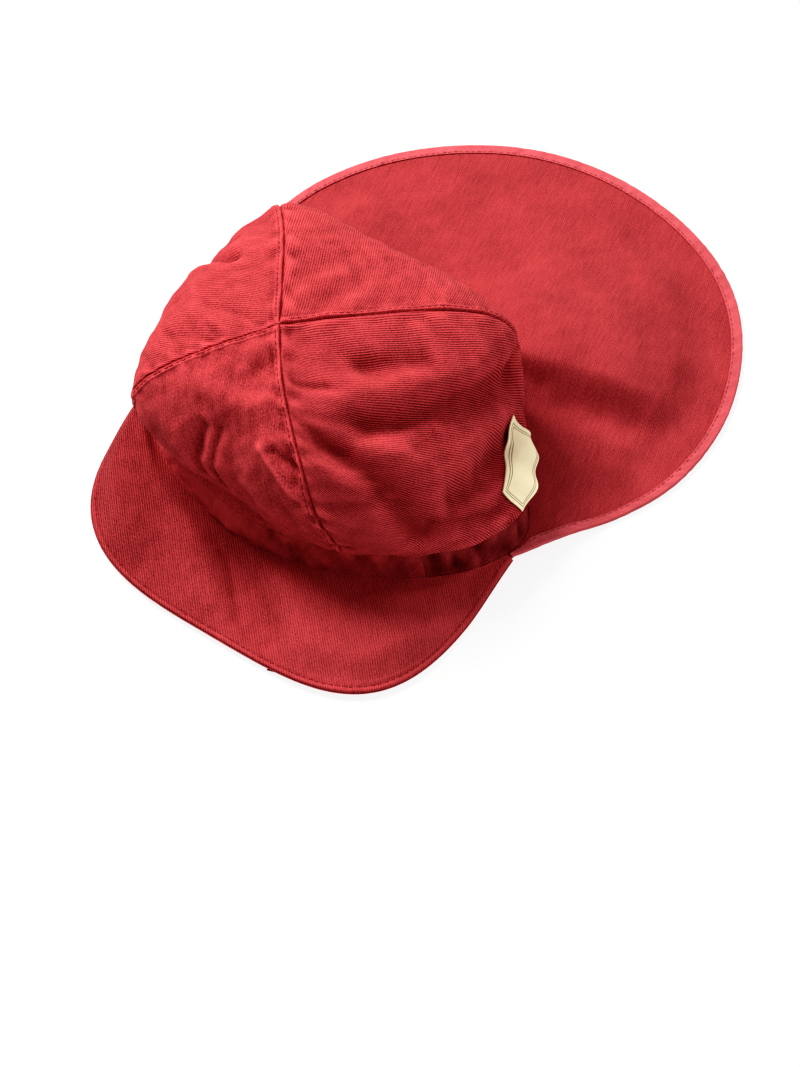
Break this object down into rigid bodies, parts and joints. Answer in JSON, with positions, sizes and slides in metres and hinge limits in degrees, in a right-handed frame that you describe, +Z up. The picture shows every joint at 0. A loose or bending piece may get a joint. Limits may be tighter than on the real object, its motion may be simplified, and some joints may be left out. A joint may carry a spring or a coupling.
{
  "type": "peaked cap with neck flap",
  "caption": "Child's soft cotton twill sun cap lying on a surface, with a baggy panelled crown, a gathered band, a soft peak and a wide bound neck flap.",
  "frame": {"origin": "middle of the footprint of the lying cap, on the surface that it rests on", "axes": "+Z up from the surface, -Y the way the peak points and +Y the way the neck flap lies, +X the wearer's left"},
  "size_m": [0.2506, 0.3294, 0.09],
  "materials": {
    "crown_twill": "washed red cotton twill with a fine diagonal rib",
    "band_twill": "washed red cotton twill",
    "peak_twill": "washed red cotton twill, two plies, stitched along the edge",
    "flap_twill": "washed red cotton twill, softly creased",
    "binding_tape": "lighter coral red folded bias binding, stitched",
    "label_cloth": "cream woven label with a plain double border line",
    "dark_tape": "dark red cotton tape"
  },
  "bodies": {
    "root": {"crown_panel_left": "crown_twill", "crown_panel_back": "crown_twill", "crown_panel_right": "crown_twill", "crown_panel_front": "crown_twill", "band_front": "band_twill", "band_back": "band_twill", "peak_top": "peak_twill", "peak_under": "peak_twill", "neck_flap": "flap_twill", "flap_binding": "binding_tape", "label": "label_cloth", "tape_end": "dark_tape"}
  },
  "joints": []
}
